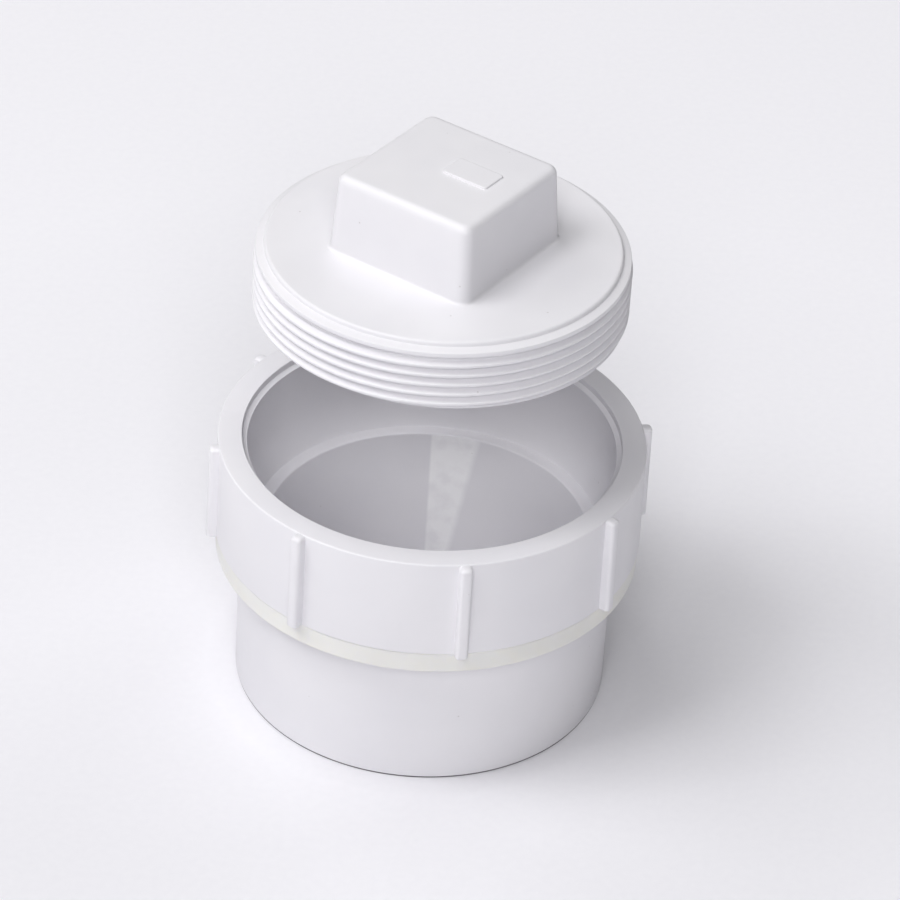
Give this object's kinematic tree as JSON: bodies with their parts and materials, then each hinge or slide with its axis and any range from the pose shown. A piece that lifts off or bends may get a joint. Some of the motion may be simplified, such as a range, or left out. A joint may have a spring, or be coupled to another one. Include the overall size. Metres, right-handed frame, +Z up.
{
  "type": "cleanout adapter",
  "caption": "Drain cleanout adapter: a plain spigot and seal ring below a ribbed collar with a stepped round mouth, and a hollow screw plug with a square head.",
  "frame": {"origin": "centre of the spigot's lower end, on the common axis", "axes": "+Z runs up the common axis of the spigot, the mouth and the plug; -Y faces the viewer of the picture and +X is to the viewer's right"},
  "size_m": [0.1332, 0.1332, 0.1795],
  "materials": {
    "white_pvc": "moulded white PVC, satin to gloss",
    "cream_seal": "smooth cream elastomer, slightly translucent"
  },
  "bodies": {
    "adapter": {"adapter_body": "white_pvc", "seal_ring": "cream_seal"},
    "plug": {"cleanout_plug": "white_pvc"}
  },
  "joints": [
    {"name": "plug_lift", "type": "slide", "parent": "adapter", "child": "plug", "axis": [0, 0, 1], "range_m": [-0.069, 0.03]}
  ]
}
